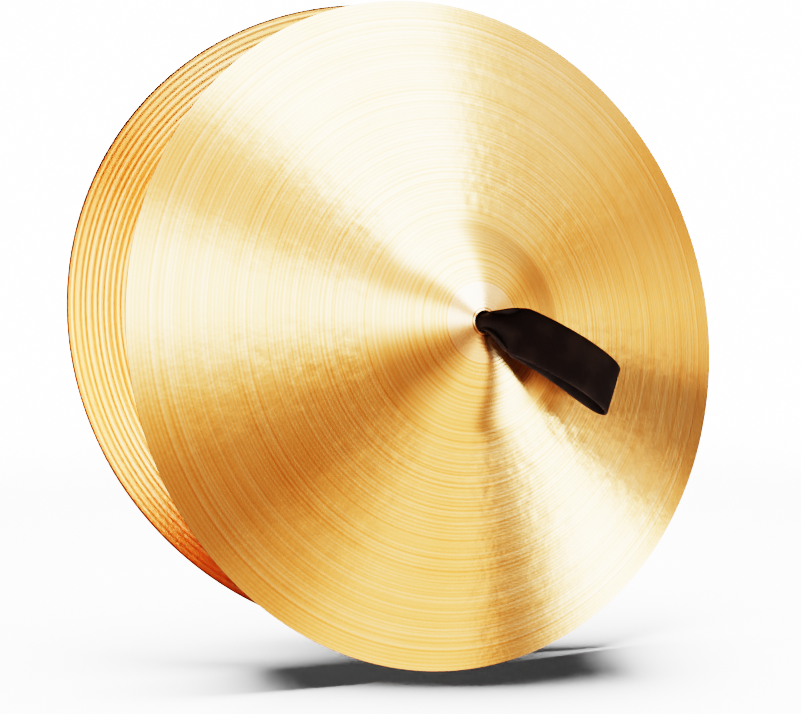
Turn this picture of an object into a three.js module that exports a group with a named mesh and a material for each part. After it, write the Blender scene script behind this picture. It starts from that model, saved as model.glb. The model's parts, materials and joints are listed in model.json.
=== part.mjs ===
// A pair of 18 inch hand cymbals, each with its leather hand strap.
//
// Units are millimetres and +Z is up. The origin is the centre of the hole in the front cymbal's bell, in the
// plane of the flat ring around it. The front cymbal leans back, so its axis points towards -Y and a little up.
// The rear cymbal faces it, bowl to bowl: the rims almost meet at the lower right and stand open at the left.
//
// Each cymbal is drawn in its own frame, with its origin at the centre of its hole and +Z out of its bell. Each
// strap is one cut of leather: a wide loop for the hand outside the bell, a bunched neck in the hole, and four
// slit tails inside the bell that are tied over and under each other in a flat square knot.

import * as THREE from "three";

// The bronze plate
const PLATE_RADIUS = 228.6;
const PLATE_HEIGHT = 52.5;
const BELL_RADIUS = 70;
const BELL_HEIGHT = 22;
const BELL_FILLET = 1.5;
const HOLE_RADIUS = 6.95;
const SEAT_RADIUS = 9.2;
const HOLE_THICKNESS = 1.8;
const RIM_THICKNESS = 1.0;
const BOW_STRAIGHT_SHARE = 0.55;
const PLATE_SIDES = 72;

// How the pair is held
const FRONT_LEAN = THREE.MathUtils.degToRad(10);
const PAIR_OPENING = THREE.MathUtils.degToRad(15.4);
const PIVOT_RADIUS = 208.3;
const PIVOT_CLOCK = THREE.MathUtils.degToRad(-19);
const PIVOT_DEPTH = PLATE_HEIGHT - 2;
const OPENING_CLOCK = THREE.MathUtils.degToRad(-23.75);
const FRONT_STRAP_CLOCK = THREE.MathUtils.degToRad(-26);
const REAR_STRAP_CLOCK = THREE.MathUtils.degToRad(-38);

// The leather strap
const LEATHER = 2.2;
const LAYER_GAP = 0.3;
const SWING_HEIGHT = 6.5;
const ROOT_HALF_THICKNESS = 4.6;
const LOOP_REACH = 106;
const LOOP_END_HEIGHT = 3;
const LOOP_RISE_ANGLE = THREE.MathUtils.degToRad(36);
const LOOP_FALL_ANGLE = THREE.MathUtils.degToRad(20);
const LOOP_RISE = 22;
const LOOP_FALL = 48;
const LOOP_HALF_GAP = 8.5;
const LOOP_WIDTH = 34;
const ROOT_WIDTH = 14;
const FLARE_LENGTH = 26;
const LOOP_STATIONS = 14;
const NECK_RADIUS = 6.4;
const NECK_TOP = 1.3;
const KNOT_TOP = -3.4;
const TAIL_WIDTH = 8;
const TAIL_OFFSET = 5.5;
const FOLD_START = 13;
const TAILS = 4;

const bronze = new THREE.MeshStandardMaterial({ color: 0xe0b060, roughness: 0.28, metalness: 1 });
const leather = new THREE.MeshStandardMaterial({ color: 0x1a1412, roughness: 0.6, metalness: 0 });

function namedMesh(name, geometry, material) {
  const mesh = new THREE.Mesh(geometry, material);
  mesh.name = name;
  return mesh;
}

// The plate's outer surface: height over the flat ring at a distance from the axis. The bell is a cap of a
// sphere, the bow falls away more steeply towards the rim, and a small fillet joins the two.
function outerHeight(radius) {
  const centreDepth = (BELL_RADIUS ** 2 - SEAT_RADIUS ** 2 + BELL_HEIGHT ** 2) / (2 * BELL_HEIGHT);
  const sphereRadius = Math.hypot(SEAT_RADIUS, centreDepth);
  const edgeSlope = BELL_RADIUS / (centreDepth - BELL_HEIGHT);
  const bell = radius < BELL_RADIUS
    ? Math.sqrt(sphereRadius ** 2 - radius ** 2) - centreDepth
    : -BELL_HEIGHT - edgeSlope * (radius - BELL_RADIUS);
  const share = (radius - BELL_RADIUS) / (PLATE_RADIUS - BELL_RADIUS);
  const fall = BOW_STRAIGHT_SHARE * share + (1 - BOW_STRAIGHT_SHARE) * share ** 2;
  const bow = -BELL_HEIGHT - (PLATE_HEIGHT - BELL_HEIGHT) * fall;
  return (bell + bow + Math.hypot(bell - bow, BELL_FILLET)) / 2;
}

function thickness(radius) {
  return THREE.MathUtils.lerp(HOLE_THICKNESS, RIM_THICKNESS, radius / PLATE_RADIUS);
}

function plateRadii() {
  const bellEnd = BELL_RADIUS - 4;
  const bowStart = BELL_RADIUS + 5;
  const steps = [1, 2, 3, 4];
  const bell = steps.map((step) => THREE.MathUtils.lerp(SEAT_RADIUS, bellEnd, step / steps.length));
  const bow = steps.map((step) => THREE.MathUtils.lerp(bowStart, PLATE_RADIUS, step / steps.length));
  return [...bell, BELL_RADIUS, bowStart, ...bow];
}

function plateGeometry() {
  const seat = [new THREE.Vector2(HOLE_RADIUS, 0), new THREE.Vector2(SEAT_RADIUS, 0)];
  const dropToSeat = outerHeight(SEAT_RADIUS);
  const outer = plateRadii().map((radius) => new THREE.Vector2(radius, outerHeight(radius) - dropToSeat));
  const top = [...seat, ...outer];
  const under = top.map((point) => new THREE.Vector2(point.x, point.y - thickness(point.x)));
  const profile = [...under, ...top.reverse()];
  profile.push(profile[0].clone());
  const geometry = new THREE.LatheGeometry(profile, PLATE_SIDES);
  geometry.rotateX(Math.PI / 2);
  return geometry;
}

// Moves each point of an outline sideways, to the right of the direction in which the outline runs.
function offsetOutline(points, distance) {
  return points.map((point, index) => {
    const before = points[Math.max(index - 1, 0)];
    const after = points[Math.min(index + 1, points.length - 1)];
    const along = after.clone().sub(before).normalize();
    return new THREE.Vector2(point.x + along.y * distance, point.y - along.x * distance);
  });
}

// Extrudes an outline drawn in the plane of reach and height by a width, centred on a sideways place.
function extrudeAcross(shape, width, sideways, steps) {
  const geometry = new THREE.ExtrudeGeometry(shape, { depth: width, steps, bevelEnabled: false });
  geometry.translate(0, 0, -width / 2);
  geometry.rotateX(Math.PI / 2);
  geometry.translate(0, sideways, 0);
  return geometry;
}

// The line midway between the two layers of the loop: it rises out of the hole, bends over and droops.
function loopSpine() {
  const start = new THREE.Vector2(0, SWING_HEIGHT);
  const end = new THREE.Vector2(LOOP_REACH, LOOP_END_HEIGHT);
  const rise = new THREE.Vector2(Math.cos(LOOP_RISE_ANGLE), Math.sin(LOOP_RISE_ANGLE));
  const fall = new THREE.Vector2(-Math.cos(LOOP_FALL_ANGLE), Math.sin(LOOP_FALL_ANGLE));
  const startHandle = start.clone().addScaledVector(rise, LOOP_RISE);
  const endHandle = end.clone().addScaledVector(fall, LOOP_FALL);
  return new THREE.CubicBezierCurve(start, startHandle, endHandle, end);
}

// Half the distance between the middles of the two layers: bunched at the hole, then open, then folded round.
function halfGap(share) {
  const teardrop = share * Math.sqrt(1 - share ** 4);
  const teardropPeak = 0.62;
  const bunched = (ROOT_HALF_THICKNESS - LEATHER / 2) * (1 - share) ** 6;
  return bunched + (LOOP_HALF_GAP / teardropPeak) * teardrop;
}

function layerPoints(spine, side) {
  const points = [];
  for (let station = 0; station <= LOOP_STATIONS; station += 1) {
    const share = Math.sin((Math.PI / 2) * (station / LOOP_STATIONS));
    const middle = spine.getPointAt(share);
    const along = spine.getTangentAt(share);
    const lift = side * halfGap(share);
    points.push(new THREE.Vector2(middle.x - along.y * lift, middle.y + along.x * lift));
  }
  return points;
}

function loopGeometry() {
  const spine = loopSpine();
  const upper = layerPoints(spine, 1);
  const lower = layerPoints(spine, -1).reverse();
  const centreline = [...upper, ...lower.slice(1)];
  const outside = offsetOutline(centreline, -LEATHER / 2);
  const inside = offsetOutline(centreline, LEATHER / 2);
  const rootArc = [-1, 0, 1].map((turn) => {
    const angle = LOOP_RISE_ANGLE + Math.PI + (turn * Math.PI) / 4;
    const x = ROOT_HALF_THICKNESS * Math.cos(angle);
    return new THREE.Vector2(x, SWING_HEIGHT + ROOT_HALF_THICKNESS * Math.sin(angle));
  });
  const shape = new THREE.Shape([...outside, ...rootArc.reverse()]);
  const firstOpenStation = 3;
  shape.holes.push(new THREE.Path(inside.slice(firstOpenStation, -firstOpenStation).reverse()));
  const geometry = extrudeAcross(shape, LOOP_WIDTH, 0, 2);
  const position = geometry.attributes.position;
  for (let index = 0; index < position.count; index += 1) {
    const distance = Math.hypot(position.getX(index), position.getZ(index) - SWING_HEIGHT);
    const flare = Math.sin((Math.PI / 2) * Math.min(distance / FLARE_LENGTH, 1));
    const width = THREE.MathUtils.lerp(ROOT_WIDTH, LOOP_WIDTH, flare);
    position.setY(index, position.getY(index) * (width / LOOP_WIDTH));
  }
  return geometry;
}

function neckGeometry() {
  const bottom = KNOT_TOP + LAYER_GAP;
  const geometry = new THREE.CylinderGeometry(NECK_RADIUS, NECK_RADIUS, NECK_TOP - bottom, 24);
  geometry.rotateX(Math.PI / 2);
  geometry.translate(0, 0, (NECK_TOP + bottom) / 2);
  return geometry;
}

// One tail of the knot, from the middle of the bell: out in the first layer, folded back in the third layer over
// the next tail, down into the second layer under the one after it, and on along the inside of the bell.
function tailGeometry() {
  const layer = LEATHER + LAYER_GAP;
  const first = KNOT_TOP - LEATHER / 2;
  const second = first - layer;
  const third = second - layer;
  const crossing = TAIL_OFFSET - TAIL_WIDTH / 2;
  const points = [new THREE.Vector2(crossing + LAYER_GAP, first)];
  for (let turn = 0; turn <= 6; turn += 1) {
    const angle = Math.PI / 2 - (Math.PI * turn) / 6;
    points.push(new THREE.Vector2(FOLD_START + layer * Math.cos(angle), second + layer * Math.sin(angle)));
  }
  points.push(new THREE.Vector2(crossing, third));
  points.push(new THREE.Vector2(-crossing, second));
  const free = new THREE.SplineCurve([
    new THREE.Vector2(-11, second),
    new THREE.Vector2(-26, second - 0.8),
    new THREE.Vector2(-38, second - 3.4),
    new THREE.Vector2(-50, second - 7.8),
  ]);
  points.push(...free.getPoints(6));
  const outline = [...offsetOutline(points, -LEATHER / 2), ...offsetOutline(points, LEATHER / 2).reverse()];
  return extrudeAcross(new THREE.Shape(outline), TAIL_WIDTH, -TAIL_OFFSET, 1);
}

// A cymbal with its strap. The strap leans over in the direction of the clock angle, counted from +X.
function cymbal(side, strapClock) {
  const assembly = new THREE.Group();
  const strap = new THREE.Group();
  strap.rotation.z = strapClock;
  strap.add(namedMesh(`${side}_strap_loop`, loopGeometry(), leather));
  strap.add(namedMesh(`${side}_strap_neck`, neckGeometry(), leather));
  for (let tail = 0; tail < TAILS; tail += 1) {
    const mesh = namedMesh(`${side}_strap_tail_${tail + 1}`, tailGeometry(), leather);
    mesh.rotation.z = (2 * Math.PI * tail) / TAILS;
    strap.add(mesh);
  }
  assembly.add(namedMesh(`${side}_plate`, plateGeometry(), bronze), strap);
  return assembly;
}

// The rear cymbal closed onto the front one would share its rim plane. It turns open about the line through the
// pivot that touches its rim.
function placeRearCymbal(rear) {
  const outward = new THREE.Vector3(Math.cos(OPENING_CLOCK), Math.sin(OPENING_CLOCK), 0);
  const rimTangent = new THREE.Vector3(-outward.y, outward.x, 0);
  const pivot = new THREE.Group();
  pivot.position.set(PIVOT_RADIUS * Math.cos(PIVOT_CLOCK), PIVOT_RADIUS * Math.sin(PIVOT_CLOCK), -PIVOT_DEPTH);
  pivot.quaternion.setFromAxisAngle(rimTangent, -PAIR_OPENING);
  rear.position.copy(outward).multiplyScalar(-PLATE_RADIUS);
  rear.position.z = -PLATE_HEIGHT;
  rear.rotation.y = Math.PI;
  pivot.add(rear);
  return pivot;
}

const group = new THREE.Group();
const front = cymbal("front", FRONT_STRAP_CLOCK);
const rear = cymbal("rear", REAR_STRAP_CLOCK);
front.rotation.x = Math.PI / 2 - FRONT_LEAN;
front.add(placeRearCymbal(rear));
group.add(front);

export default group;
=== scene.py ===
"""A pair of 18 inch hand cymbals with leather hand straps, standing on a pale floor.

Lengths are in metres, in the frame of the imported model. A cymbal's own frame comes from the record: its
origin is the centre of the hole, +Z points out of the bell and +X points to the record's seat point. A
strap's own frame has the same origin and +Z, +X the way the strap droops, and +Y across the strap.
"""

import json
import math

import bmesh
import bpy
import numpy as np
from mathutils import Matrix, Vector


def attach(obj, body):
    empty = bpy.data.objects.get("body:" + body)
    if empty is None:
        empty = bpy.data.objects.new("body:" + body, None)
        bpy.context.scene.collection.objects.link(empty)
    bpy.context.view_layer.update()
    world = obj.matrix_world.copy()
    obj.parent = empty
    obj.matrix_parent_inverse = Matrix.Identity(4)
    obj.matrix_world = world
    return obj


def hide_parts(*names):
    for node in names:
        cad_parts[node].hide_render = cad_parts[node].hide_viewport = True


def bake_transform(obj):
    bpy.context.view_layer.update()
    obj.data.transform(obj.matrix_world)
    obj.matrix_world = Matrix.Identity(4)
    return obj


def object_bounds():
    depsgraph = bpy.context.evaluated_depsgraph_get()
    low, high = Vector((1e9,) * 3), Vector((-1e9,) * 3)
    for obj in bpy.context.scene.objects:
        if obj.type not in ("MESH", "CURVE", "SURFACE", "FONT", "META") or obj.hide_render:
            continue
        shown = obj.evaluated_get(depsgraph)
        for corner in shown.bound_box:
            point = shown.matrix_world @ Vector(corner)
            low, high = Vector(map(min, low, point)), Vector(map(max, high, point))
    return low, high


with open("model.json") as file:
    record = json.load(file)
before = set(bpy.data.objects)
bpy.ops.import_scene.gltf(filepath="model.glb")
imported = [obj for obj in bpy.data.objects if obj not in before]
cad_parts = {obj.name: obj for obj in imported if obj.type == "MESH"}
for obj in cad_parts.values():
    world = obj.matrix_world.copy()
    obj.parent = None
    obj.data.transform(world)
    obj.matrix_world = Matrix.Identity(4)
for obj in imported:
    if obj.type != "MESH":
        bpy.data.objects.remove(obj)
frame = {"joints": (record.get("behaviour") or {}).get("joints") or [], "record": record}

CAD_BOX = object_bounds()
MM = 0.001
RECORD = frame["record"]
JOINTS = {joint["name"]: joint for joint in frame["joints"]}
MOUNTS = {mount["name"]: mount for mount in RECORD["mounts"]}

# The bronze plate
PLATE_RADIUS = 228.6 * MM
PLATE_HEIGHT = 52.5 * MM
BELL_RADIUS = 70 * MM
BELL_HEIGHT = 22 * MM
BELL_FILLET = 5 * MM
HOLE_RADIUS = 6.95 * MM
SEAT_RADIUS = 9.2 * MM
BEAD_HEIGHT = 0.3 * MM
HOLE_THICKNESS = 1.8 * MM
RIM_THICKNESS = 1.0 * MM
BOW_STRAIGHT_SHARE = 0.55
PLATE_SIDES = 288
OUTER_RINGS = 150
INNER_BELL_RINGS = 18
GROOVE_PITCH = 4.0 * MM
GROOVE_DEPTH = 0.24 * MM
GROOVE_FADE = 12 * MM
GROOVES_CLEAR_OF_BELL = 4 * MM
RINGS_PER_GROOVE = 4
SEAT_RINGS = 7
RIM_RINGS = 5
SEAT_EASE = 0.2 * MM
HOLE_EASE = 0.25 * MM
HOLE_TOP_EASE = 0.15 * MM

# The traces of the lathe on the outer surface: pitch, depth and phase of each wave, and where they fade
LATHE_WAVES = ((8.3 * MM, 0.018 * MM, 0.4), (5.1 * MM, 0.014 * MM, 1.9), (13.7 * MM, 0.022 * MM, 3.1))
WAVE_FADE = 8 * MM
RIM_CALM = 4 * MM
RIM_CALM_FADE = 10 * MM

# The hammer marks: rows of round dents over the bow
FIRST_ROW = 80 * MM
LAST_ROW = 216 * MM
ROW_STEP = 6.5 * MM
ROW_SCATTER = 1.6 * MM
DENT_STEP = 8.0 * MM
DENT_SCATTER = 0.16
DENT_WIDTHS = (1.9 * MM, 3.1 * MM)
DENT_DEPTHS = (0.015 * MM, 0.075 * MM)
DENT_REACH = 3
FIRST_SEED = 5

# The leather strap
LEATHER = 2.2 * MM
LOOP_REACH = 106 * MM
LOOP_END_HEIGHT = 3 * MM
LOOP_RISE_ANGLE = math.radians(36)
LOOP_FALL_ANGLE = math.radians(20)
LOOP_RISE = 20 * MM
LOOP_FALL = 48 * MM
LOOP_HALF_GAP = 7.8 * MM
LOOP_WIDTH = 34 * MM
LOOP_SIDE_SAG = 5.5 * MM
SIDE_SAG_POWER = 1.6
TEARDROP_PEAK = 0.62  # the top of the curve in half_gap
NECK_WIDTH = 16.5 * MM
NECK_BEND = 8 * MM
NECK_HALF_GAP = 4.4 * MM
NECK_DEPTH = 3.0 * MM
NECK_CLOSE = 30 * MM
NECK_POWER = 1.5
FLARE_LENGTH = 28 * MM
FLARE_POWER = 1.2
LEAST_CURL = 0.5  # per metre, for a strip that is all but flat
RIPPLE_HEIGHT = 0.5 * MM
RIPPLE_START = 7 * MM
RIPPLE_END = 22 * MM
RIPPLE_TURN = 2.2 * math.pi
RIPPLE_SHIFT = 0.6
NECK_STATIONS = 7
BEND_STATIONS = 12
LOOP_STATIONS = 80
STRAP_STATIONS = 240
POINTS_ACROSS = 11
POINTS_ON_EDGE = 3

# The knot's four tails
TAILS = 4
LAYER_GAP = 0.3 * MM
KNOT_TOP = -3.4 * MM
TAIL_WIDTH = 8 * MM
TAIL_OFFSET = 5.5 * MM
FOLD_START = 13 * MM
CROSSING = 3.2 * MM
TAIL_REACH = 46.8 * MM
TAIL_SAG = 7.8 * MM
TAIL_SAG_POWER = 1.9
TIP_SHARES = (1.0, 0.99, 0.96, 0.9, 0.8, 0.66)

SIDES = ("front", "rear")


# --------------------------------------------------------------------------------------------------- frames

def frame_matrix(origin, x_axis, y_axis, z_axis):
    """The matrix of a frame from its origin and its three unit axes."""
    matrix = Matrix((x_axis, y_axis, z_axis)).transposed().to_4x4()
    matrix.translation = origin
    return matrix


def plate_frame(side):
    """A cymbal's own frame, from its strap's spin joint and its seat mount."""
    spin = JOINTS[f"{side}_strap_spin"]
    origin = Vector(spin["pos_m"])
    z_axis = Vector(spin["axis"]).normalized()
    to_seat = Vector(MOUNTS[f"{side}_bell_seat"]["pos_m"]) - origin
    y_axis = z_axis.cross(to_seat).normalized()
    return frame_matrix(origin, y_axis.cross(z_axis), y_axis, z_axis)


def strap_frame(side):
    """A strap's own frame, from its spin and swing joints."""
    spin = JOINTS[f"{side}_strap_spin"]
    z_axis = Vector(spin["axis"]).normalized()
    y_axis = Vector(JOINTS[f"{side}_strap_swing"]["axis"]).normalized()
    return frame_matrix(Vector(spin["pos_m"]), y_axis.cross(z_axis), y_axis, z_axis)


# ----------------------------------------------------------------------------------------------- mesh tools

def grid_mesh(name, points, uv_name):
    """A closed skin over points[station, around], joined up both along its stations and around them."""
    stations, around = points.shape[:2]
    mesh = bpy.data.meshes.new(name)
    index = np.arange(stations * around).reshape(stations, around)
    ahead = np.roll(index, -1, axis=0)
    quads = np.stack([index, np.roll(index, -1, 1), np.roll(ahead, -1, 1), ahead], axis=-1)
    mesh.from_pydata(points.reshape(-1, 3).tolist(), [], quads.reshape(-1, 4).tolist())
    add_grid_uv(mesh, stations, around, uv_name)
    mesh.shade_smooth()
    mesh.update()
    return mesh


def add_grid_uv(mesh, stations, around, uv_name):
    """U goes once around the skin and V once along its stations."""
    station, turn = np.meshgrid(np.arange(stations), np.arange(around), indexing="ij")
    corners = [(0, 0), (0, 1), (1, 1), (1, 0)]
    u = np.stack([(turn + c[1]) / around for c in corners], axis=-1)
    v = np.stack([(station + c[0]) / stations for c in corners], axis=-1)
    uv = np.stack([u, v], axis=-1).reshape(-1).astype(np.float32)
    mesh.uv_layers.new(name=uv_name).data.foreach_set("uv", uv)


def add_object(name, mesh, matrix, material):
    """Set a mesh down in the frame it was made in. Each point keeps its place in that frame as "place", for
    the material."""
    place = np.empty(3 * len(mesh.vertices), dtype=np.float32)
    mesh.vertices.foreach_get("co", place)
    mesh.attributes.new("place", "FLOAT_VECTOR", "POINT").data.foreach_set("vector", place)
    mesh.transform(matrix)
    mesh.materials.append(material)
    made = bpy.data.objects.new(name, mesh)
    bpy.context.scene.collection.objects.link(made)
    return made


# ----------------------------------------------------------------------------------------------- the plates

def outer_height(radius):
    """Height of the outer surface: a ball's cap for the bell, a fillet, and a bow that falls to the rim."""
    centre_depth = (BELL_RADIUS**2 - SEAT_RADIUS**2 + BELL_HEIGHT**2) / (2 * BELL_HEIGHT)
    sphere_radius = math.hypot(SEAT_RADIUS, centre_depth)
    edge_slope = BELL_RADIUS / (centre_depth - BELL_HEIGHT)
    inside = np.sqrt(np.maximum(sphere_radius**2 - radius**2, 0)) - centre_depth
    bell = np.where(radius < BELL_RADIUS, inside, -BELL_HEIGHT - edge_slope * (radius - BELL_RADIUS))
    share = (radius - BELL_RADIUS) / (PLATE_RADIUS - BELL_RADIUS)
    fall = BOW_STRAIGHT_SHARE * share + (1 - BOW_STRAIGHT_SHARE) * share**2
    bow = -BELL_HEIGHT - (PLATE_HEIGHT - BELL_HEIGHT) * fall
    return (bell + bow + np.hypot(bell - bow, BELL_FILLET)) / 2


def plate_height(radius):
    """The outer surface with a flat ring round the hole, which is at height zero."""
    over_seat = outer_height(radius) - outer_height(np.array(SEAT_RADIUS))
    return np.where(radius < SEAT_RADIUS, 0.0, over_seat)


def seat_bead(radius):
    """The rounding of the ring round the hole."""
    share = np.clip((radius - HOLE_RADIUS) / (SEAT_RADIUS - HOLE_RADIUS), 0, 1)
    return BEAD_HEIGHT * np.sin(np.pi * share)


def plate_thickness(radius):
    """The bronze thins evenly from the hole to the rim."""
    return HOLE_THICKNESS + (RIM_THICKNESS - HOLE_THICKNESS) * radius / PLATE_RADIUS


def lathe_bands(radius):
    """The slow waves that turning leaves on the outer surface."""
    return sum(depth * np.sin(2 * np.pi * radius / pitch + phase) for pitch, depth, phase in LATHE_WAVES)


def hammer_marks(radius, angle, random):
    """Rows of shallow round dents over the bow, on a grid of ring radii by angles."""
    relief = np.zeros((len(radius), len(angle)))
    for row in np.arange(FIRST_ROW, LAST_ROW, ROW_STEP):
        count = int(2 * np.pi * row / DENT_STEP)
        for dent in range(count):
            centre_radius = row + random.normal(0, ROW_SCATTER)
            centre_angle = 2 * np.pi * (dent + random.normal(0, DENT_SCATTER)) / count
            width = random.uniform(*DENT_WIDTHS)
            depth = random.uniform(*DENT_DEPTHS)
            near = np.abs(radius - centre_radius) < DENT_REACH * width
            gap = (angle - centre_angle + np.pi) % (2 * np.pi) - np.pi
            beside = np.abs(gap) * row < DENT_REACH * width
            across = (radius[near, None] - centre_radius) ** 2 + (gap[None, beside] * row) ** 2
            relief[np.ix_(near, beside)] -= depth * np.exp(-across / (2 * width**2))
    return relief


def outer_rings():
    """Radii of the outer surface's rings, from the hole's upper edge to just before the rim."""
    seat = np.linspace(HOLE_RADIUS + SEAT_EASE, SEAT_RADIUS - SEAT_EASE, SEAT_RINGS)
    shell = np.linspace(SEAT_RADIUS, PLATE_RADIUS - RIM_THICKNESS / 2, OUTER_RINGS)
    return np.concatenate([seat, shell])


def inner_rings():
    """Radii of the inner surface, from the rim inwards, several to each of its grooves."""
    grooves = int((PLATE_RADIUS - BELL_RADIUS - GROOVES_CLEAR_OF_BELL) / GROOVE_PITCH)
    step = GROOVE_PITCH / RINGS_PER_GROOVE
    bow = PLATE_RADIUS - RIM_THICKNESS / 2 - step * np.arange(1, grooves * RINGS_PER_GROOVE)
    bell = np.linspace(bow[-1], HOLE_RADIUS + HOLE_EASE, INNER_BELL_RINGS + 1)[1:]
    return np.concatenate([bow, bell])


def inner_grooves(radius):
    """The turned grooves of the inner surface, which fade out before the bell."""
    phase = 2 * np.pi * (PLATE_RADIUS - RIM_THICKNESS / 2 - radius) / GROOVE_PITCH
    fade = np.clip((radius - BELL_RADIUS) / GROOVE_FADE, 0, 1)
    return GROOVE_DEPTH / 2 * np.cos(phase) * fade


def rim_profile():
    """Radii and heights of the rim's half round, from its top to its underside."""
    half = RIM_THICKNESS / 2
    centre_radius = PLATE_RADIUS - half
    centre_height = plate_height(np.array(centre_radius)) - half
    angles = np.pi / 2 - np.pi * (np.arange(1, RIM_RINGS + 1) / (RIM_RINGS + 1))
    return centre_radius + half * np.cos(angles), centre_height + half * np.sin(angles)


def outer_profile(angle, random):
    """Radii of the outer surface's rings, and their heights at each angle with the traces of the tools."""
    radius = outer_rings()
    calm = np.clip((PLATE_RADIUS - RIM_CALM - radius) / RIM_CALM_FADE, 0, 1)
    bands = lathe_bands(radius) * np.clip((radius - SEAT_RADIUS) / WAVE_FADE, 0, 1)
    smooth = plate_height(radius) + seat_bead(radius) + bands * calm
    return radius, smooth[:, None] + hammer_marks(radius, angle, random) * calm[:, None]


def plate_points(side):
    """The turned profile swept round the axis, with the hammer marks on the outer surface."""
    random = np.random.default_rng(SIDES.index(side) + FIRST_SEED)
    angle = 2 * np.pi * np.arange(PLATE_SIDES) / PLATE_SIDES
    outer, outer_z = outer_profile(angle, random)
    rim, rim_z = rim_profile()
    inner = inner_rings()
    inner_z = plate_height(inner) - plate_thickness(inner) + inner_grooves(inner)
    hole = np.array([HOLE_RADIUS, HOLE_RADIUS])
    hole_z = np.array([-HOLE_THICKNESS + HOLE_EASE, -HOLE_TOP_EASE])
    radius = np.concatenate([outer, rim, inner, hole])[:, None]
    turned_z = np.concatenate([rim_z, inner_z, hole_z])[:, None] + np.zeros(PLATE_SIDES)
    height = np.concatenate([outer_z, turned_z])
    return np.stack([radius * np.cos(angle), radius * np.sin(angle), height], axis=-1)


def make_plate(side, material):
    mesh = grid_mesh(f"{side}_bronze", plate_points(side), "lathe")
    plate = add_object(f"{side}_bronze", mesh, plate_frame(side), material)
    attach(plate, f"{side}_cymbal")
    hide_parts(f"{side}_plate")
    return plate


# ------------------------------------------------------------------------------------------------ the strap

def bezier(start, start_handle, end_handle, end, share):
    """Points of a cubic curve at each share of the way along it."""
    share = share[:, None]
    back = 1 - share
    near = back**3 * start + 3 * back**2 * share * start_handle
    return near + 3 * back * share**2 * end_handle + share**3 * end


def resample(points, distances):
    """Points of a line at given distances along it."""
    steps = np.linalg.norm(np.diff(points, axis=0), axis=1)
    along = np.concatenate([[0], np.cumsum(steps)])
    return np.stack([np.interp(distances, along, column) for column in points.T], axis=1)


def length_of(points):
    return np.linalg.norm(np.diff(points, axis=0), axis=1).sum()


def strap_spine():
    """The line midway between the strap's layers: up through the hole, over, and down to the far end."""
    neck = np.array([[0, height] for height in np.linspace(-NECK_DEPTH, 0, NECK_STATIONS)[:-1]])
    turn = np.linspace(0, np.pi / 2 - LOOP_RISE_ANGLE, BEND_STATIONS)
    bend = np.stack([NECK_BEND * (1 - np.cos(turn)), NECK_BEND * np.sin(turn)], axis=1)
    rise = np.array([math.cos(LOOP_RISE_ANGLE), math.sin(LOOP_RISE_ANGLE)])
    fall = np.array([-math.cos(LOOP_FALL_ANGLE), math.sin(LOOP_FALL_ANGLE)])
    end = np.array([LOOP_REACH, LOOP_END_HEIGHT])
    share = np.linspace(0, 1, LOOP_STATIONS)
    loop = bezier(bend[-1], bend[-1] + rise * LOOP_RISE, end + fall * LOOP_FALL, end, share)[1:]
    return np.concatenate([neck, bend, loop])


def half_gap(share, distance):
    """Half the gap between the layers' middles: a tube at the neck, then a teardrop closed by the fold."""
    teardrop = share * np.sqrt(np.maximum(1 - share**4, 0))
    neck = np.clip(1 - distance / NECK_CLOSE, 0, 1)
    tube = np.maximum(NECK_HALF_GAP * neck**NECK_POWER * (1 - share), 0)
    return tube + LOOP_HALF_GAP / TEARDROP_PEAK * teardrop


def strap_path(stations):
    """The middle of the leather from the neck out, round the fold and back. Also each point's distance out
    of the hole, and its layer: -1 on the way out and 1 on the way back."""
    spine = strap_spine()
    total = length_of(spine)
    turn = np.linspace(-np.pi / 2, np.pi / 2, stations)
    distance = np.cos(turn) * total
    nearby = 0.4 * MM
    before = resample(spine, np.maximum(distance - nearby, 0))
    along = resample(spine, np.minimum(distance + nearby, total)) - before
    along /= np.linalg.norm(along, axis=1)[:, None]
    normal = np.stack([-along[:, 1], along[:, 0]], axis=1)
    out_of_hole = np.maximum(distance - NECK_DEPTH, 0)
    share = out_of_hole / (total - NECK_DEPTH)
    layer = np.sign(turn)
    points = resample(spine, distance) + normal * (layer * half_gap(share, out_of_hole))[:, None]
    return points, out_of_hole, layer


def section(across_count, edge_count):
    """Once round a strip's section: place across it, how far past its edge, and level, from -1 to 1."""
    row = np.linspace(-1, 1, across_count)
    angles = np.pi / 2 - np.pi * np.arange(1, edge_count + 1) / (edge_count + 1)
    ones = np.ones(edge_count)
    place = np.concatenate([row, ones, row[::-1], -ones])
    beyond = np.concatenate([row * 0, np.cos(angles), row * 0, -np.cos(angles)])
    level = np.concatenate([row * 0 + 1, np.sin(angles), row * 0 - 1, np.sin(angles[::-1])])
    return place, beyond, level


def sweep_strip(centre, width, curl, ripple=None):
    """The skin of a strip of leather along a middle line of reach and height. Curl is one over the radius
    to which the strip is rolled across its width, with its edges turned to the right of the line's way."""
    half_thickness = LEATHER / 2
    tangent = np.gradient(centre, axis=0)
    tangent /= np.linalg.norm(tangent, axis=1)[:, None]
    outward = np.stack([tangent[:, 1], -tangent[:, 0]], axis=1)
    place, beyond, level = section(POINTS_ACROSS, POINTS_ON_EDGE)
    across = place * (width[:, None] / 2 - half_thickness)
    bend = np.maximum(curl, LEAST_CURL)[:, None]
    turn = across * bend
    edge, lift = beyond * half_thickness, level * half_thickness
    sideways = np.sin(turn) / bend + edge * np.cos(turn) + lift * np.sin(turn)
    height = -(1 - np.cos(turn)) / bend - edge * np.sin(turn) + lift * np.cos(turn)
    if ripple is not None:
        height = height + ripple(place)
    flat = centre[:, None, :] + outward[:, None, :] * height[:, :, None]
    return np.stack([flat[:, :, 0], sideways, flat[:, :, 1]], axis=-1)


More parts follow.
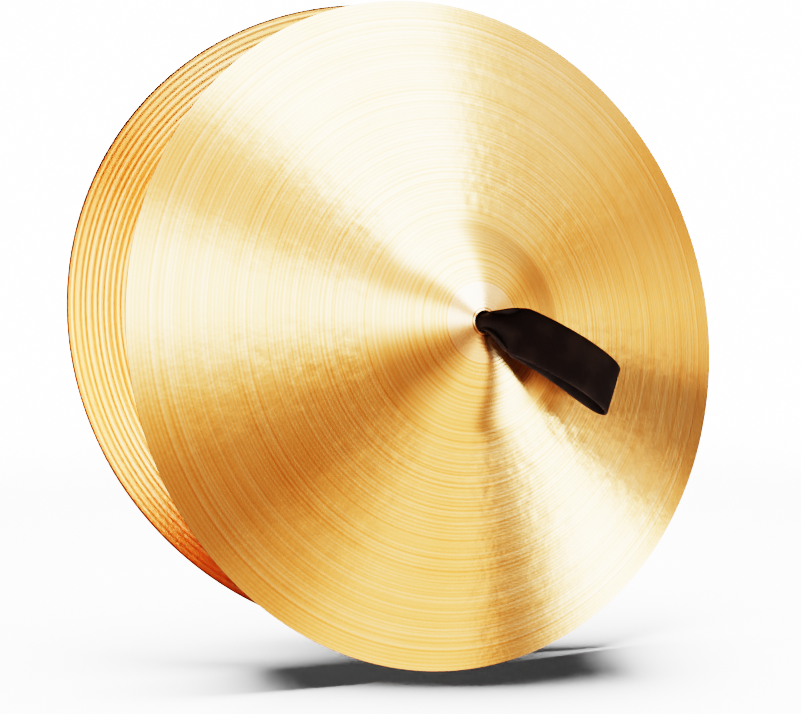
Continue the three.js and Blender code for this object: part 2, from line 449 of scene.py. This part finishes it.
def strip_mesh(name, points):
    """A skin closed round each section and capped at both ends."""
    stations, around = points.shape[:2]
    index = np.arange(stations * around).reshape(stations, around)
    here, ahead = index[:-1], index[1:]
    quads = np.stack([here, ahead, np.roll(ahead, -1, 1), np.roll(here, -1, 1)], axis=-1)
    faces = quads.reshape(-1, 4).tolist() + [index[0].tolist(), index[-1][::-1].tolist()]
    mesh = bpy.data.meshes.new(name)
    mesh.from_pydata(points.reshape(-1, 3).tolist(), [], faces)
    shape = bmesh.new()
    shape.from_mesh(mesh)
    bmesh.ops.recalc_face_normals(shape, faces=shape.faces)
    shape.to_mesh(mesh)
    shape.free()
    mesh.shade_smooth()
    return mesh


def strap_points():
    """The skin of a strap: rolled up in the hole, flared into the loop, and set over to one side."""
    centre, distance, layer = strap_path(STRAP_STATIONS)
    flared = np.clip(distance / FLARE_LENGTH, 0, 1)
    width = NECK_WIDTH + (LOOP_WIDTH - NECK_WIDTH) * np.sin(np.pi / 2 * flared) ** FLARE_POWER
    curl = (1 - flared) ** NECK_POWER / NECK_HALF_GAP
    reach = np.clip(distance / RIPPLE_START, 0, 1) * np.exp(-((distance / RIPPLE_END) ** 2))

    def ripple(place):
        waves = np.cos(RIPPLE_TURN * place[None, :] + RIPPLE_SHIFT * layer[:, None])
        return RIPPLE_HEIGHT * reach[:, None] * waves

    points = sweep_strip(centre, width, curl, ripple)
    points[:, :, 1] -= LOOP_SIDE_SAG * ((distance / distance.max()) ** SIDE_SAG_POWER)[:, None]
    return points


def make_strap(side, material):
    """A strap that curls over just out of the hole, made in the strap's frame with that place baked into its
    mesh.
    """
    matrix = strap_frame(side)
    strap = add_object(f"{side}_strap", strip_mesh(f"{side}_strap", strap_points()), matrix, material)
    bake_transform(strap)
    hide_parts(f"{side}_strap_loop", f"{side}_strap_neck")
    return strap


def tail_line():
    """A tail of the knot: out in the first layer, back in the third, into the second, and on to its end."""
    layer = LEATHER + LAYER_GAP
    first = KNOT_TOP - LEATHER / 2
    second, third = first - layer, first - 2 * layer
    start = TAIL_OFFSET - TAIL_WIDTH / 2 + LAYER_GAP
    out = np.stack([np.linspace(start, FOLD_START, 6), np.full(6, first)], axis=1)
    turn = np.linspace(np.pi / 2, -np.pi / 2, 13)[1:]
    fold = np.stack([FOLD_START + layer * np.cos(turn), second + layer * np.sin(turn)], axis=1)
    back = np.stack([np.linspace(FOLD_START, CROSSING, 6)[1:], np.full(5, third)], axis=1)
    step = np.linspace(0, 1, 9)[1:]
    drop = third + (second - third) * (1 - np.cos(np.pi * step)) / 2
    over = np.stack([CROSSING - 2 * CROSSING * step, drop], axis=1)
    reach = np.linspace(0, 1, 16)[1:]
    sag = TAIL_SAG * reach**TAIL_SAG_POWER
    free = np.stack([-CROSSING - TAIL_REACH * reach, second - sag], axis=1)
    return np.concatenate([out, fold, back, over, free])


def make_tail(side, tail, material):
    line = tail_line()
    width = np.full(len(line), TAIL_WIDTH)
    width[-len(TIP_SHARES):] *= np.array(TIP_SHARES)
    points = sweep_strip(line, width, np.zeros(len(line)))
    points[:, :, 1] -= TAIL_OFFSET
    name = f"{side}_tail_{tail + 1}"
    matrix = strap_frame(side) @ Matrix.Rotation(2 * math.pi * tail / TAILS, 4, "Z")
    made = add_object(name, strip_mesh(name, points), matrix, material)
    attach(made, f"{side}_knot")
    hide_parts(f"{side}_strap_tail_{tail + 1}")
    return made


# ------------------------------------------------------------------------------------------------ materials

class Graph:
    """A material and short calls that add nodes to it. A value is a number or another node's output."""

    def __init__(self, name):
        self.material = bpy.data.materials.new(name)
        self.material.use_nodes = True
        self.nodes = self.material.node_tree.nodes
        self.links = self.material.node_tree.links
        self.shader = self.nodes["Principled BSDF"]

    def feed(self, socket, value):
        if isinstance(value, bpy.types.NodeSocket):
            self.links.new(value, socket)
        else:
            socket.default_value = value

    def math(self, operation, first, second=0.0, third=0.0):
        made = self.nodes.new("ShaderNodeMath")
        made.operation = operation
        for socket, value in zip(made.inputs, (first, second, third)):
            self.feed(socket, value)
        return made.outputs[0]

    def total(self, start, *terms):
        """A starting number plus each value times its weight."""
        for value, weight in terms:
            start = self.math("MULTIPLY_ADD", value, weight, start)
        return start

    def length(self, vector):
        made = self.nodes.new("ShaderNodeVectorMath")
        made.operation = "LENGTH"
        self.feed(made.inputs[0], vector)
        return made.outputs["Value"]

    def attribute(self, name, output):
        made = self.nodes.new("ShaderNodeAttribute")
        made.attribute_name = name
        return made.outputs[output]

    def place(self):
        """Where a point is in the frame its piece was made in, whole and as X, Y and Z."""
        place = self.attribute("place", "Vector")
        split = self.nodes.new("ShaderNodeSeparateXYZ")
        self.feed(split.inputs[0], place)
        return place, split.outputs

    def vector(self, x, y, z):
        made = self.nodes.new("ShaderNodeCombineXYZ")
        for socket, value in zip(made.inputs, (x, y, z)):
            self.feed(socket, value)
        return made.outputs[0]

    def noise(self, scale, detail, w=None, vector=None, roughness=0.5):
        """Noise along a number w, or over a place."""
        made = self.nodes.new("ShaderNodeTexNoise")
        made.noise_dimensions = "1D" if vector is None else "3D"
        made.inputs["Scale"].default_value = scale
        made.inputs["Detail"].default_value = detail
        made.inputs["Roughness"].default_value = roughness
        if vector is None:
            self.feed(made.inputs["W"], w)
        else:
            self.feed(made.inputs["Vector"], vector)
        return made.outputs["Fac"]

    def ramp(self, value, low, high, start=0.0, end=1.0):
        """A smooth change from start to end while the value goes from low to high."""
        made = self.nodes.new("ShaderNodeMapRange")
        made.interpolation_type = "SMOOTHSTEP"
        for name, number in (("From Min", low), ("From Max", high), ("To Min", start), ("To Max", end)):
            made.inputs[name].default_value = number
        self.feed(made.inputs["Value"], value)
        return made.outputs["Result"]

    def ring(self, radius, centre, core, edge):
        """One on a circle, falling to zero between core and edge on both sides of it."""
        gap = self.math("ABSOLUTE", self.math("SUBTRACT", radius, centre))
        return self.ramp(gap, core, edge, 1.0, 0.0)

    def mix(self, share, first, second):
        made = self.nodes.new("ShaderNodeMix")
        made.data_type = "RGBA"
        self.feed(made.inputs["Factor"], share)
        for socket, value in zip((made.inputs["A"], made.inputs["B"]), (first, second)):
            self.feed(socket, value if isinstance(value, bpy.types.NodeSocket) else (*value, 1))
        return made.outputs["Result"]

    def bump(self, height, distance, strength=1.0):
        made = self.nodes.new("ShaderNodeBump")
        made.inputs["Strength"].default_value = strength
        made.inputs["Distance"].default_value = distance
        self.feed(made.inputs["Height"], height)
        return made.outputs["Normal"]


GOLD = (0.92, 0.48, 0.155)
DEEP_GOLD = (0.80, 0.33, 0.085)
PALE_GOLD = (0.95, 0.58, 0.24)
POLISHED_GOLD = (0.98, 0.66, 0.34)
# The colour of the painted shade in the crease at the seat ring's outer edge
SEAT_PAINTED_SHADE = (0.30, 0.10, 0.03)
POLISHED_RADIUS = 27.5 * MM
POLISHED_SHARE = 0.6
POLISH_FADE = 1 * MM
POLISH_EDGE = (0.15 * MM, 0.6 * MM)
SEAT_EDGE = (0.2 * MM, 0.7 * MM)
TONE_LEVEL = -0.35
GLOSS_LEVEL = 0.165
DENTS_START = 72 * MM
DENTS_FULL = 90 * MM
BRONZE_RELIEF = 0.045 * MM

# The patterns of the bronze: noise scales per metre, and the pitch and wander of the tool's path
HAIR_SCALE = 1100
TOOL_SCALE = 340
BAND_SCALE = 75
PATCH_SCALE = 14
DENT_SCALE = 240
ARC_SCALE = 520
ARC_LENGTH = 2.2
TOOL_PITCH = 2.5 * MM
TOOL_WANDER = 9.0

# The leather's colours, grain and gloss
LEATHER_DARK = (0.018, 0.0095, 0.0080)
LEATHER_WORN = (0.028, 0.016, 0.0115)
GRAIN_SCALE = 900
WEAR_SCALE = 60
GRAIN_DEPTH = 0.12 * MM
GRAIN_STRENGTH = 0.6
LEATHER_ROUGHNESS = (0.62, 0.78)
LEATHER_SPECULAR = 0.25


def bronze_patterns(graph):
    """The traces of the tools and the rings on a plate, each a value over its surface."""
    place, axes = graph.place()
    radius = graph.length(graph.vector(axes["X"], axes["Y"], 0.0))
    turn_x = graph.math("MULTIPLY", graph.math("DIVIDE", axes["X"], radius), ARC_LENGTH)
    turn_y = graph.math("MULTIPLY", graph.math("DIVIDE", axes["Y"], radius), ARC_LENGTH)
    arc_place = graph.vector(graph.math("MULTIPLY", radius, ARC_SCALE), turn_x, turn_y)
    bands = graph.noise(BAND_SCALE, 2, w=radius)
    tool_turn = graph.total(0.0, (bands, TOOL_WANDER), (radius, 2 * math.pi / TOOL_PITCH))
    dent_share = graph.ramp(radius, DENTS_START, DENTS_FULL)
    return {
        "bands": bands,
        "hair": graph.noise(HAIR_SCALE, 2, w=radius),
        "tool": graph.noise(TOOL_SCALE, 2, w=radius),
        "waves": graph.math("SINE", tool_turn),
        "arcs": graph.noise(1.0, 2, vector=arc_place),
        "patches": graph.noise(PATCH_SCALE, 3, vector=place),
        "dents": graph.math("MULTIPLY", graph.noise(DENT_SCALE, 1, vector=place), dent_share),
        "unpolished": graph.ramp(radius, POLISHED_RADIUS, POLISHED_RADIUS + POLISH_FADE),
        "polish_groove_and_shade": graph.ring(radius, POLISHED_RADIUS, *POLISH_EDGE),
        "seat_shade_ring": graph.ring(radius, SEAT_RADIUS, *SEAT_EDGE),
    }


def bronze_colour(graph, seen):
    """Gold that the tools have streaked, paler on the polished disc.
    The groove round the polished disc and the crease round the seat ring are darkened as painted shade.
    """
    streaks = ((seen["tool"], 0.8), (seen["arcs"], 0.3), (seen["waves"], 0.17))
    tone = graph.total(TONE_LEVEL, *streaks, (seen["bands"], 0.2), (seen["patches"], 0.5))
    colour = graph.mix(graph.ramp(tone, 0.15, 0.55), DEEP_GOLD, GOLD)
    colour = graph.mix(graph.ramp(tone, 0.55, 0.85), colour, PALE_GOLD)
    polished = graph.total(POLISHED_SHARE, (seen["unpolished"], -POLISHED_SHARE))
    colour = graph.mix(polished, colour, POLISHED_GOLD)
    # Painted shade: the groove at the polished disc's edge is darkened with deep gold
    colour = graph.mix(seen["polish_groove_and_shade"], colour, DEEP_GOLD)
    # Painted shade: a dark ring where the seat ring round the hole meets the bell
    return graph.mix(seen["seat_shade_ring"], colour, SEAT_PAINTED_SHADE)


def bronze_relief(graph, seen):
    """The height of the fine traces of the tools, with a groove at the polished disc's edge."""
    lines = ((seen["hair"], 0.35), (seen["tool"], 1.0), (seen["arcs"], 0.8), (seen["waves"], 0.3))
    return graph.total(0.0, *lines, (seen["dents"], 0.9), (seen["polish_groove_and_shade"], -1.0))


def bronze_material():
    """Turned bronze. Its highlights stretch across the turned lines, which follow the UV map's U."""
    graph = Graph("bronze")
    shader = graph.shader
    shader.inputs["Metallic"].default_value = 1.0
    shader.inputs["Anisotropic"].default_value = 1.0
    shader.inputs["Anisotropic Rotation"].default_value = 0.25
    tangent = graph.nodes.new("ShaderNodeTangent")
    tangent.direction_type = "UV_MAP"
    tangent.uv_map = "lathe"
    graph.feed(shader.inputs["Tangent"], tangent.outputs["Tangent"])

    seen = bronze_patterns(graph)
    gloss = graph.total(GLOSS_LEVEL, (seen["arcs"], 0.06), (seen["unpolished"], 0.03))
    graph.feed(shader.inputs["Base Color"], bronze_colour(graph, seen))
    graph.feed(shader.inputs["Roughness"], gloss)
    graph.feed(shader.inputs["Normal"], graph.bump(bronze_relief(graph, seen), BRONZE_RELIEF))
    return graph.material


def leather_material():
    """Dark leather with a fine grain, a little paler where it is worn."""
    graph = Graph("leather")
    shader = graph.shader
    place = graph.attribute("place", "Vector")
    grain = graph.noise(GRAIN_SCALE, 3, vector=place, roughness=0.6)
    wear = graph.noise(WEAR_SCALE, 3, vector=place)
    colour = graph.mix(graph.ramp(wear, 0.35, 0.75), LEATHER_DARK, LEATHER_WORN)
    graph.feed(shader.inputs["Base Color"], colour)
    graph.feed(shader.inputs["Roughness"], graph.ramp(grain, 0.2, 0.8, *LEATHER_ROUGHNESS))
    shader.inputs["Specular IOR Level"].default_value = LEATHER_SPECULAR
    graph.feed(shader.inputs["Normal"], graph.bump(grain, GRAIN_DEPTH, GRAIN_STRENGTH))
    return graph.material


# ---------------------------------------------------------------------------------------------------- stage

CAMERA_PLACE = Vector((-0.63109, -1.00042, 0.08091))
CAMERA_AZIMUTH = math.radians(29.57)
CAMERA_DIP = math.radians(5.03)
CAMERA_LENS = 81.26
SENSOR_WIDTH = 36


def add_camera():
    data = bpy.data.cameras.new("camera")
    data.lens = CAMERA_LENS
    data.sensor_width = SENSOR_WIDTH
    camera = bpy.data.objects.new("camera", data)
    bpy.context.scene.collection.objects.link(camera)
    camera.location = CAMERA_PLACE
    camera.rotation_euler = (math.pi / 2 - CAMERA_DIP, 0, -CAMERA_AZIMUTH)
    bpy.context.scene.camera = camera


FLOOR_HEIGHT = CAD_BOX[0].z
FLOOR_COLOUR = (0.92, 0.92, 0.92, 1)
FLOOR_CLEAR = 0.75
FLOOR_END = 1.5
DISC_SIDES = 96
FLAG_PLACE = Vector((-0.01, 0.035, FLOOR_HEIGHT + 0.18))
FLAG_HALF_WIDTH = 0.16
FLAG_HALF_DEPTH = 0.085
BACKDROP_GLOW = 12.0
ROOM_GLOW = 0.04
MIRRORED_GLOW = 0.22
MIRRORED_TINT = (1, 0.7, 0.6)


def disc_mesh(name, half_width, half_depth):
    turn = 2 * np.pi * np.arange(DISC_SIDES) / DISC_SIDES
    rim = np.stack([half_width * np.cos(turn), half_depth * np.sin(turn), 0 * turn], axis=1)
    mesh = bpy.data.meshes.new(name)
    mesh.from_pydata(rim.tolist(), [], [list(range(len(rim)))])
    return mesh


def add_floor():
    """A pale round floor that fades into the backdrop."""
    graph = Graph("floor")
    shader = graph.shader
    shader.inputs["Base Color"].default_value = FLOOR_COLOUR
    shader.inputs["Roughness"].default_value = 0.9
    shader.inputs["Specular IOR Level"].default_value = 0.0
    from_middle = graph.length(graph.attribute("place", "Vector"))
    graph.feed(shader.inputs["Alpha"], graph.ramp(from_middle, FLOOR_CLEAR, FLOOR_END, 1.0, 0.0))
    level = Matrix.Translation((0, 0, FLOOR_HEIGHT))
    floor = add_object("floor", disc_mesh("floor", FLOOR_END, FLOOR_END), level, graph.material)
    floor.visible_glossy = False
    floor.visible_shadow = False
    return floor


def add_flag():
    """A studio flag that no camera or mirror sees. It hangs below the overhead lamp, for a deeper shadow."""
    place = Matrix.Translation(FLAG_PLACE) @ Matrix.Rotation(-CAMERA_AZIMUTH, 4, "Z")
    mesh = disc_mesh("flag", FLAG_HALF_WIDTH, FLAG_HALF_DEPTH)
    flag = add_object("flag", mesh, place, Graph("flag").material)
    flag.visible_camera = False
    flag.visible_diffuse = False
    flag.visible_glossy = False
    flag.visible_transmission = False


def add_world():
    """White to the camera, a dim warm room in reflections and a dimmer neutral one for soft light."""
    world = bpy.data.worlds.new("world")
    bpy.context.scene.world = world
    world.use_nodes = True
    nodes, links = world.node_tree.nodes, world.node_tree.links
    path = nodes.new("ShaderNodeLightPath")
    shown = nodes["Background"].outputs[0]
    nodes["Background"].inputs["Color"].default_value = (1, 1, 1, 1)
    nodes["Background"].inputs["Strength"].default_value = ROOM_GLOW
    mirrored = ("Is Glossy Ray", MIRRORED_TINT, MIRRORED_GLOW)
    for ray, colour, strength in (mirrored, ("Is Camera Ray", (1, 1, 1), BACKDROP_GLOW)):
        light = nodes.new("ShaderNodeBackground")
        light.inputs["Color"].default_value = (*colour, 1)
        light.inputs["Strength"].default_value = strength
        mix = nodes.new("ShaderNodeMixShader")
        links.new(path.outputs[ray], mix.inputs[0])
        links.new(shown, mix.inputs[1])
        links.new(light.outputs[0], mix.inputs[2])
        shown = mix.outputs[0]
    links.new(shown, nodes["World Output"].inputs["Surface"])


# Tints of light
NEUTRAL = (1, 1, 1)
WARM = (1.0, 0.7, 0.55)
WHITE = (1.0, 1.1, 1.4)
PEARL = (1.0, 0.92, 1.05)
PEACH = (1.0, 0.70, 0.66)
SKY = (0.7, 0.9, 1.5)
CREAM = (1.0, 0.80, 0.84)
AMBER = (1.0, 0.62, 0.50)

# A tent of glowing cloth stands where a plate mirrors it to the viewer, round the mirror direction. A line
# of a tent is a clock angle in degrees, how near the mirror direction the cloth begins, its brightness and
# its tint. These change evenly from one line to the next.
TENT_DISTANCE = 1.6
CLOCK_STEP = 2.0
STEEPEST_REACH = 0.985
FRONT_FAR = 1.4
BACK_FAR = 0.7
BACK_VIEWER = Vector((0.3, 1.6, 0.3))
FRONT_TENT = (
    (-15, 0.06, 1.4, AMBER),
    (0, 0.06, 2.0, AMBER),
    (15, 0.06, 1.4, AMBER),
    (30, 0.06, 1.0, AMBER),
    (42, 0.06, 1.3, AMBER),
    (55, 0.06, 1.4, CREAM),
    (70, 0.06, 1.4, CREAM),
    (86, 0.06, 1.5, CREAM),
    (96, 0.06, 2.8, CREAM),
    (102, 0.06, 7.0, WHITE),
    (141, 0.06, 7.5, WHITE),
    (150, 0.06, 1.9, PEACH),
    (161, 0.06, 1.8, PEACH),
    (169, 0.06, 5.0, PEARL),
    (177, 0.06, 5.0, PEARL),
    (184, 0.06, 2.4, CREAM),
    (190, 0.06, 1.3, AMBER),
    (198, 0.06, 0.6, AMBER),
    (210, 0.06, 0.45, AMBER),
    (220, 0.06, 1.1, AMBER),
    (230, 0.06, 2.3, AMBER),
    (255, 0.06, 2.5, AMBER),
    (260, 0.06, 0.25, AMBER),
    (270, 0.06, 0.25, AMBER),
    (276, 0.06, 3.0, CREAM),
    (284, 0.06, 8.0, WHITE),
    (296, 0.06, 8.0, WHITE),
    (304, 0.36, 5.0, CREAM),
    (313, 0.50, 1.8, AMBER),
    (320, 0.06, 0.2, AMBER),
    (338, 0.06, 0.1, AMBER),
    (345, 0.06, 1.4, AMBER),
)
BACK_TENT = (
    (0, 0.06, 1.6, AMBER),
    (60, 0.06, 1.8, CREAM),
    (72, 0.06, 5.0, WHITE),
    (110, 0.06, 5.0, WHITE),
    (122, 0.06, 1.0, AMBER),
    (150, 0.06, 0.8, AMBER),
    (165, 0.06, 4.0, CREAM),
    (190, 0.06, 4.0, CREAM),
    (205, 0.06, 0.6, AMBER),
    (225, 0.06, 0.6, AMBER),
    (240, 0.06, 3.5, CREAM),
    (280, 0.06, 3.5, CREAM),
    (292, 0.06, 0.7, AMBER),
    (310, 0.06, 0.7, AMBER),
    (325, 0.06, 2.0, AMBER),
    (360, 0.06, 1.6, AMBER),
)

# Lamps that the inside of the rear cymbal mirrors to the camera: name, clock angle, reach from the mirror
# direction, size, brightness and tint.
LAMP_DISTANCE = 1.3
CRESCENT_LAMPS = (
    ("crescent_left", 5, 0.46, 0.55, 9.0, CREAM),
    ("crescent_top", -45, 0.46, 0.40, 6.0, CREAM),
    ("crescent_high", -80, 0.46, 0.50, 8.0, CREAM),
    ("crescent_low", 45, 0.46, 0.40, 0.30, SKY),
)

# Softboxes: name, place, target, size, power, tint, and which objects they light
SOFTBOXES = (
    ("overhead", (0.05, 0.18, 1.3), (0, 0.08, FLOOR_HEIGHT), 0.9, 175, NEUTRAL, "floor"),
    ("strap_key", (-0.5, -1.2, 1.4), (0, 0, 0), 0.8, 9, WARM, "leather"),
    ("back_key", (0.6, 1.6, 1.2), (0, 0.16, 0), 0.8, 12, WARM, "leather"),
    ("back_card", (1.4, 2.6, 0.1), (0, 0.08, 0), 2.6, 45, CREAM, "plates"),
)


def direction(sideways):
    """The unit vector on a frame's +Z side with a given sideways part."""
    return Vector((sideways.x, sideways.y, math.sqrt(1 - sideways.length_squared)))


def tent_stops(stops, clocks):
    """Near reach, then red, green and blue brightness, at each clock angle."""
    angles = [stop[0] for stop in stops]
    values = np.array([(near, *(np.array(tint) * brightness)) for _, near, brightness, tint in stops])
    return np.stack([np.interp(clocks, angles, values[:, column]) for column in range(4)], axis=1)


def tent_mesh(name, mirror, stops, far):
    """A band of cloth on a sphere, from the near reach at each clock angle out to the far one."""
    clocks = np.arange(stops[0][0], stops[-1][0] + CLOCK_STEP / 2, CLOCK_STEP)
    points, colours = [], []
    for clock, (near, *colour) in zip(np.radians(clocks), tent_stops(stops, clocks)):
        outward = Vector((math.cos(clock), math.sin(clock)))
        along = mirror.dot(outward)
        limit = math.sqrt(STEEPEST_REACH**2 - mirror.length_squared + along**2) - along
        for reach in (near, min(far, limit)):
            points.append(direction(mirror + outward * reach) * TENT_DISTANCE)
            colours.append((*colour, 1))
    faces = [(2 * i, 2 * i + 1, 2 * i + 3, 2 * i + 2) for i in range(len(clocks) - 1)]
    mesh = bpy.data.meshes.new(name)
    mesh.from_pydata(points, [], faces)
    glow = mesh.attributes.new("glow", "FLOAT_COLOR", "POINT")
    glow.data.foreach_set("color", np.array(colours, dtype=np.float32).reshape(-1))
    return mesh


def tent_material(name):
    graph = Graph(name)
    glow = graph.nodes.new("ShaderNodeEmission")
    graph.feed(glow.inputs["Color"], graph.attribute("glow", "Color"))
    glow.inputs["Strength"].default_value = 1.0
    graph.feed(graph.nodes["Material Output"].inputs["Surface"], glow.outputs[0])
    return graph.material


def add_tent(name, stops, far, matrix, viewer, receivers, blockers):
    """A tent round the direction that a plate mirrors to a viewer. Only the receivers see it."""
    mesh = tent_mesh(name, mirror_direction(matrix, viewer), stops, far)
    tent = add_object(name, mesh, matrix, tent_material(name))
    tent.visible_camera = False
    tent.visible_shadow = False
    tent.light_linking.receiver_collection = receivers
    tent.light_linking.blocker_collection = blockers


def inside_frame(side):
    """A plate's inner face: +Z out of its bowl, and +X to the right for someone who looks in."""
    return plate_frame(side) @ Matrix.Rotation(math.pi, 4, "Y")


def collection_of(name, objects):
    made = bpy.data.collections.new(name)
    for one in objects:
        made.objects.link(one)
    return made


def mirror_direction(matrix, viewer):
    """The sideways part of the direction that a flat mirror at a frame's origin shows to a viewer."""
    to_viewer = (matrix.inverted() @ viewer).normalized()
    return Vector((-to_viewer.x, -to_viewer.y))


def add_crescent_lamps(matrix, rear_only):
    """Lamps for the inside of the rear plate. Their light passes through the front plate."""
    mirror = mirror_direction(matrix, CAMERA_PLACE)
    for name, clock, reach, size, brightness, tint in CRESCENT_LAMPS:
        turn = math.radians(clock)
        sideways = mirror + Vector((math.cos(turn), math.sin(turn))) * reach
        place = matrix @ (direction(sideways) * LAMP_DISTANCE)
        energy = brightness * math.pi * size**2
        add_lamp(name, place, matrix.translation, size, energy, tint, rear_only, rear_only)


def add_lamp(name, place, target, size, energy, tint, receivers, blockers=None):
    """A square softbox aimed at a target. It lights only the receivers. Blockers, if given, are the only
    things that shade it."""
    data = bpy.data.lights.new(name, "AREA")
    data.shape = "SQUARE"
    data.size = size
    data.energy = energy
    data.color = tint
    lamp = bpy.data.objects.new(name, data)
    bpy.context.scene.collection.objects.link(lamp)
    lamp.location = place
    lamp.rotation_euler = (Vector(target) - Vector(place)).to_track_quat("-Z", "Y").to_euler()
    lamp.light_linking.receiver_collection = receivers
    lamp.visible_camera = False
    if blockers:
        lamp.light_linking.blocker_collection = blockers


def light_scene(floor, plates, leathers):
    front_only = collection_of("front_plate_only", plates[:1])
    rear_only = collection_of("rear_plate_only", plates[1:])
    all_solid = collection_of("all_solid", plates + leathers)
    add_tent("front_tent", FRONT_TENT, FRONT_FAR, plate_frame("front"), CAMERA_PLACE, front_only, all_solid)
    add_tent("back_tent", BACK_TENT, BACK_FAR, plate_frame("rear"), BACK_VIEWER, rear_only, all_solid)
    add_crescent_lamps(inside_frame("rear"), rear_only)
    lit = {"floor": [floor], "leather": leathers, "plates": plates}
    groups = {name: collection_of(f"{name}_only", objects) for name, objects in lit.items()}
    for name, place, target, size, energy, tint, group in SOFTBOXES:
        add_lamp(name, place, target, size, energy, tint, groups[group])


def main():
    add_camera()
    add_world()
    floor = add_floor()
    add_flag()
    bronze = bronze_material()
    leather = leather_material()
    plates = [make_plate(side, bronze) for side in SIDES]
    for plate in plates:
        plate.visible_diffuse = False
    leathers = [make_strap(side, leather) for side in SIDES]
    leathers += [make_tail(side, tail, leather) for side in SIDES for tail in range(TAILS)]
    light_scene(floor, plates, leathers)
    bpy.context.scene.view_settings.view_transform = "Filmic"
    bpy.context.scene.view_settings.look = "Very High Contrast"


main()
